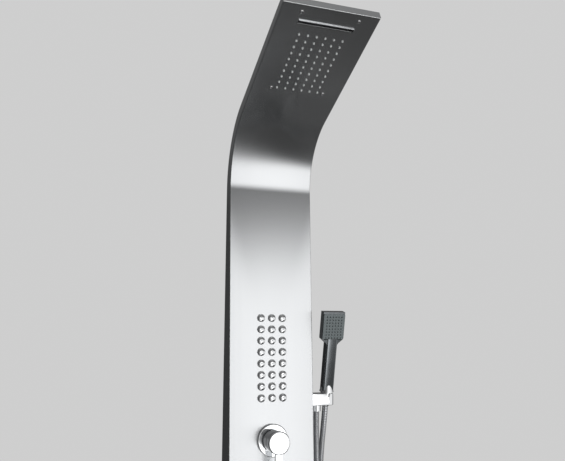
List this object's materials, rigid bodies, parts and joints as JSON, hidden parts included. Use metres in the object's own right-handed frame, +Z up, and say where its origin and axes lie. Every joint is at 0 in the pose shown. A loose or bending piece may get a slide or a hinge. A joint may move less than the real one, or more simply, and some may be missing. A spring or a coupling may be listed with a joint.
{
  "type": "rainfall shower column",
  "caption": "Wall-hung folded steel shower panel with a curved rain head, waterfall slot, body jets, single-lever mixer, diverter knob, and a hand shower on a hose in a side holder.",
  "frame": {"origin": "middle of the upper wall bracket's two screw holes, on the wall plane", "axes": "+Z up along the panel, +Y into the wall, the front and the spray face -Y, the holder and hose on the +X side"},
  "size_m": [0.271, 0.3952, 1.4995],
  "materials": {
    "brushed_panel": "brushed, running down the panel",
    "plain_steel": "plain rolled sheet",
    "screw_steel": "turned and polished",
    "chrome_plate": "mirror",
    "hose_metal": "wound strip, polished",
    "brass_body": "machined",
    "nozzle_rubber": "satin silicone",
    "spray_rubber": "satin silicone",
    "seal_rubber": "matt",
    "housing_plastic": "moulded, fine matt",
    "cartridge_plastic": "moulded, satin",
    "tube_plastic": "satin",
    "spray_plate": "satin gloss",
    "grey_chrome": "smoked mirror"
  },
  "bodies": {
    "panel": {"front_panel": "brushed_panel", "back_cover": "plain_steel", "cover_screws": "screw_steel", "nozzle_mat": "nozzle_rubber", "spray_housing": "housing_plastic", "waterfall_lip": "chrome_plate", "head_screws": "screw_steel", "body_jets": "chrome_plate", "jet_gasket": "seal_rubber", "jet_manifold": "housing_plastic", "manifold_lid": "housing_plastic", "mixer_body": "brass_body", "mixer_locknut": "brass_body", "mixer_cartridge": "cartridge_plastic", "cartridge_nut": "brass_body", "mixer_plate": "chrome_plate", "mixer_bonnet": "chrome_plate", "diverter_body": "brass_body", "diverter_locknut": "brass_body", "diverter_cartridge": "brass_body", "diverter_plate": "chrome_plate", "tube_rain": "tube_plastic", "tube_waterfall": "tube_plastic", "tube_jets": "tube_plastic", "tube_mixed": "tube_plastic", "tube_outlet": "tube_plastic", "tube_ferrules": "screw_steel", "tube_clips": "cartridge_plastic", "inlet_strainers": "plain_steel", "holder_arm": "chrome_plate", "holder_washer": "seal_rubber", "holder_nut": "brass_body", "outlet_elbow": "brass_body", "hose_nut": "chrome_plate", "hose_seal": "seal_rubber", "wall_bracket_upper": "plain_steel", "wall_bracket_lower": "plain_steel", "hanger_bar_upper": "plain_steel", "hanger_bar_lower": "plain_steel", "shower_hose": "hose_metal"},
    "mixer_stem": {"cartridge_rotor": "cartridge_plastic", "tilt_pin": "screw_steel"},
    "mixer_lever": {"cartridge_lever": "brass_body", "mixer_handle": "chrome_plate", "handle_grub": "screw_steel", "handle_button": "chrome_plate"},
    "diverter_control": {"diverter_spindle": "brass_body", "diverter_knob": "chrome_plate", "knob_screw": "screw_steel"},
    "handset": {"handset_body": "grey_chrome", "spray_face": "spray_plate", "spray_mat": "spray_rubber", "handset_collar": "chrome_plate", "handset_insert": "brass_body", "hose_cone": "chrome_plate", "cone_seal": "seal_rubber"}
  },
  "joints": [
    {"name": "mixer_turn", "type": "hinge", "parent": "panel", "child": "mixer_stem", "pos_m": [0, -0.07179, -0.49809], "axis": [0, -0.9986, 0.0523], "range_deg": [-45, 45]},
    {"name": "mixer_tilt", "type": "hinge", "parent": "mixer_stem", "child": "mixer_lever", "pos_m": [0, -0.07179, -0.49809], "axis": [-1, 0, 0], "range_deg": [0, 18]},
    {"name": "diverter_turn", "type": "hinge", "parent": "panel", "child": "diverter_control", "pos_m": [0, -0.06664, -0.62904], "axis": [0, -0.9986, 0.0523], "range_deg": [0, 270]},
    {"name": "handset_lift", "type": "slide", "parent": "panel", "child": "handset", "axis": [0, -0.1994, 0.9799], "range_m": [0, 0.06]}
  ]
}
